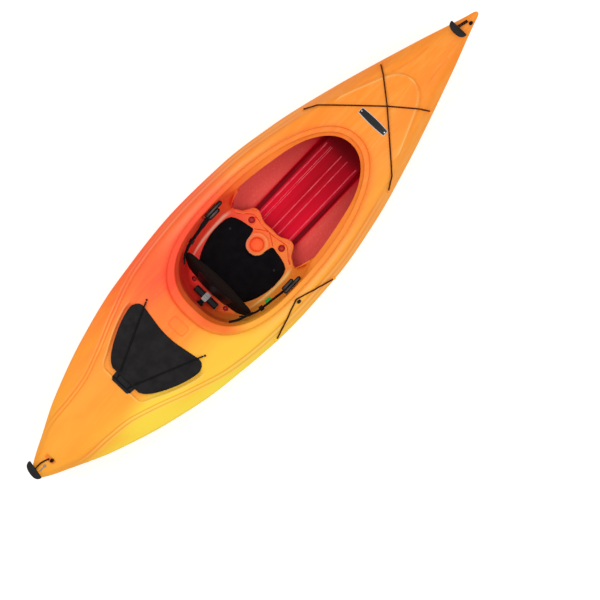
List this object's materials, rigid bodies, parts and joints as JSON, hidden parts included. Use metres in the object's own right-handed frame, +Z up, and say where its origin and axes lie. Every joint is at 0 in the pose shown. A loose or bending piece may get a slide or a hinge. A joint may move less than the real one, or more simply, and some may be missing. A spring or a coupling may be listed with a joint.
{
  "type": "sit-in kayak",
  "caption": "Ten-foot sit-in kayak with an open oval cockpit, padded seat and folding backrest, hinged rear hatch, deck cords and a T-handle at each end.",
  "frame": {"origin": "centre of the bounding box in plan, on the plane of the flat keel", "axes": "+X towards the bow, +Y to port, +Z up"},
  "size_m": [3.0788, 0.8, 0.3931],
  "materials": {
    "moulded_hull": "satin, marbled orange, yellow and red-orange",
    "pad_foam": "matt black skin over foam",
    "backrest_fabric": "woven black fabric over foam",
    "webbing": "woven black webbing",
    "shock_cord": "braided black",
    "black_rubber": "matt black",
    "black_plastic": "fine grain",
    "grey_plastic": "smooth grey",
    "rivet_steel": "plain",
    "rail_aluminium": "mill finish",
    "flotation_foam": "closed-cell foam"
  },
  "bodies": {
    "hull": {"hull_and_deck": "moulded_hull", "stern_foam_pillar": "flotation_foam", "bow_foam_pillar": "flotation_foam", "seat_pad": "pad_foam", "seat_pad_rivet_left": "black_plastic", "seat_pad_rivet_right": "black_plastic", "backrest_cross_bar": "black_plastic", "rear_strap": "webbing", "rear_strap_buckle": "grey_plastic", "rear_strap_anchor": "black_plastic", "left_back_strap": "webbing", "right_back_strap": "webbing", "left_strap_loop": "webbing", "right_strap_loop": "webbing", "right_strap_tail": "webbing", "hatch_hinge_strap": "black_rubber", "hatch_hook_left": "black_plastic", "hatch_hook_right": "black_plastic", "bow_cord_from_port": "shock_cord", "bow_cord_from_starboard": "shock_cord", "bow_eyelet_1": "moulded_hull", "bow_eyelet_2": "moulded_hull", "bow_eyelet_3": "moulded_hull", "bow_eyelet_4": "moulded_hull", "keeper_cord": "shock_cord", "keeper_ball": "black_plastic", "keeper_eyelet_rear": "moulded_hull", "keeper_eyelet_front": "moulded_hull", "bow_handle_knot": "shock_cord", "stern_handle_knot": "shock_cord", "stern_screw": "rivet_steel", "left_foot_rail": "rail_aluminium", "right_foot_rail": "rail_aluminium", "left_rail_rivet_rear": "rivet_steel", "left_rail_rivet_front": "rivet_steel", "right_rail_rivet_rear": "rivet_steel", "right_rail_rivet_front": "rivet_steel"},
    "hatch": {"hatch_cover": "black_rubber", "hatch_cord_left": "shock_cord", "hatch_cord_right": "shock_cord"},
    "backrest": {"backrest_pad": "backrest_fabric", "backrest_plate": "black_plastic"},
    "left_pedal": {"left_foot_pedal": "black_plastic"},
    "right_pedal": {"right_foot_pedal": "black_plastic"},
    "bow_handle": {"bow_handle_grip": "black_rubber", "bow_handle_cord": "shock_cord"},
    "stern_handle": {"stern_handle_grip": "black_rubber", "stern_handle_cord": "shock_cord"},
    "left_adjuster": {"left_strap_adjuster": "black_plastic"},
    "right_adjuster": {"right_strap_adjuster": "black_plastic"}
  },
  "joints": [
    {"name": "hatch_hinge", "type": "hinge", "parent": "hull", "child": "hatch", "pos_m": [-0.8977, 0, 0.289], "axis": [0, -1, 0], "range_deg": [0, 100]},
    {"name": "backrest_fold", "type": "hinge", "parent": "hull", "child": "backrest", "pos_m": [-0.318, 0, 0.127], "axis": [0, 1, 0], "range_deg": [0, 48]},
    {"name": "left_pedal_slide", "type": "slide", "parent": "hull", "child": "left_pedal", "axis": [0.9585, -0.2799, 0.0545], "range_m": [-0.12, 0.12]},
    {"name": "right_pedal_slide", "type": "slide", "parent": "hull", "child": "right_pedal", "axis": [0.9585, 0.28, 0.0545], "range_m": [-0.12, 0.12]},
    {"name": "bow_handle_swing", "type": "hinge", "parent": "hull", "child": "bow_handle", "pos_m": [1.4743, 0, 0.28], "axis": [0, 1, 0], "range_deg": [0, 150]},
    {"name": "stern_handle_swing", "type": "hinge", "parent": "hull", "child": "stern_handle", "pos_m": [-1.4221, 0, 0.2785], "axis": [0, 1, 0], "range_deg": [0, 170]},
    {"name": "left_adjuster_slide", "type": "slide", "parent": "hull", "child": "left_adjuster", "axis": [0.9877, 0.1534, 0.0288], "range_m": [0, 0.06]},
    {"name": "right_adjuster_slide", "type": "slide", "parent": "hull", "child": "right_adjuster", "axis": [0.9877, -0.1534, 0.0288], "range_m": [0, 0.06]}
  ]
}
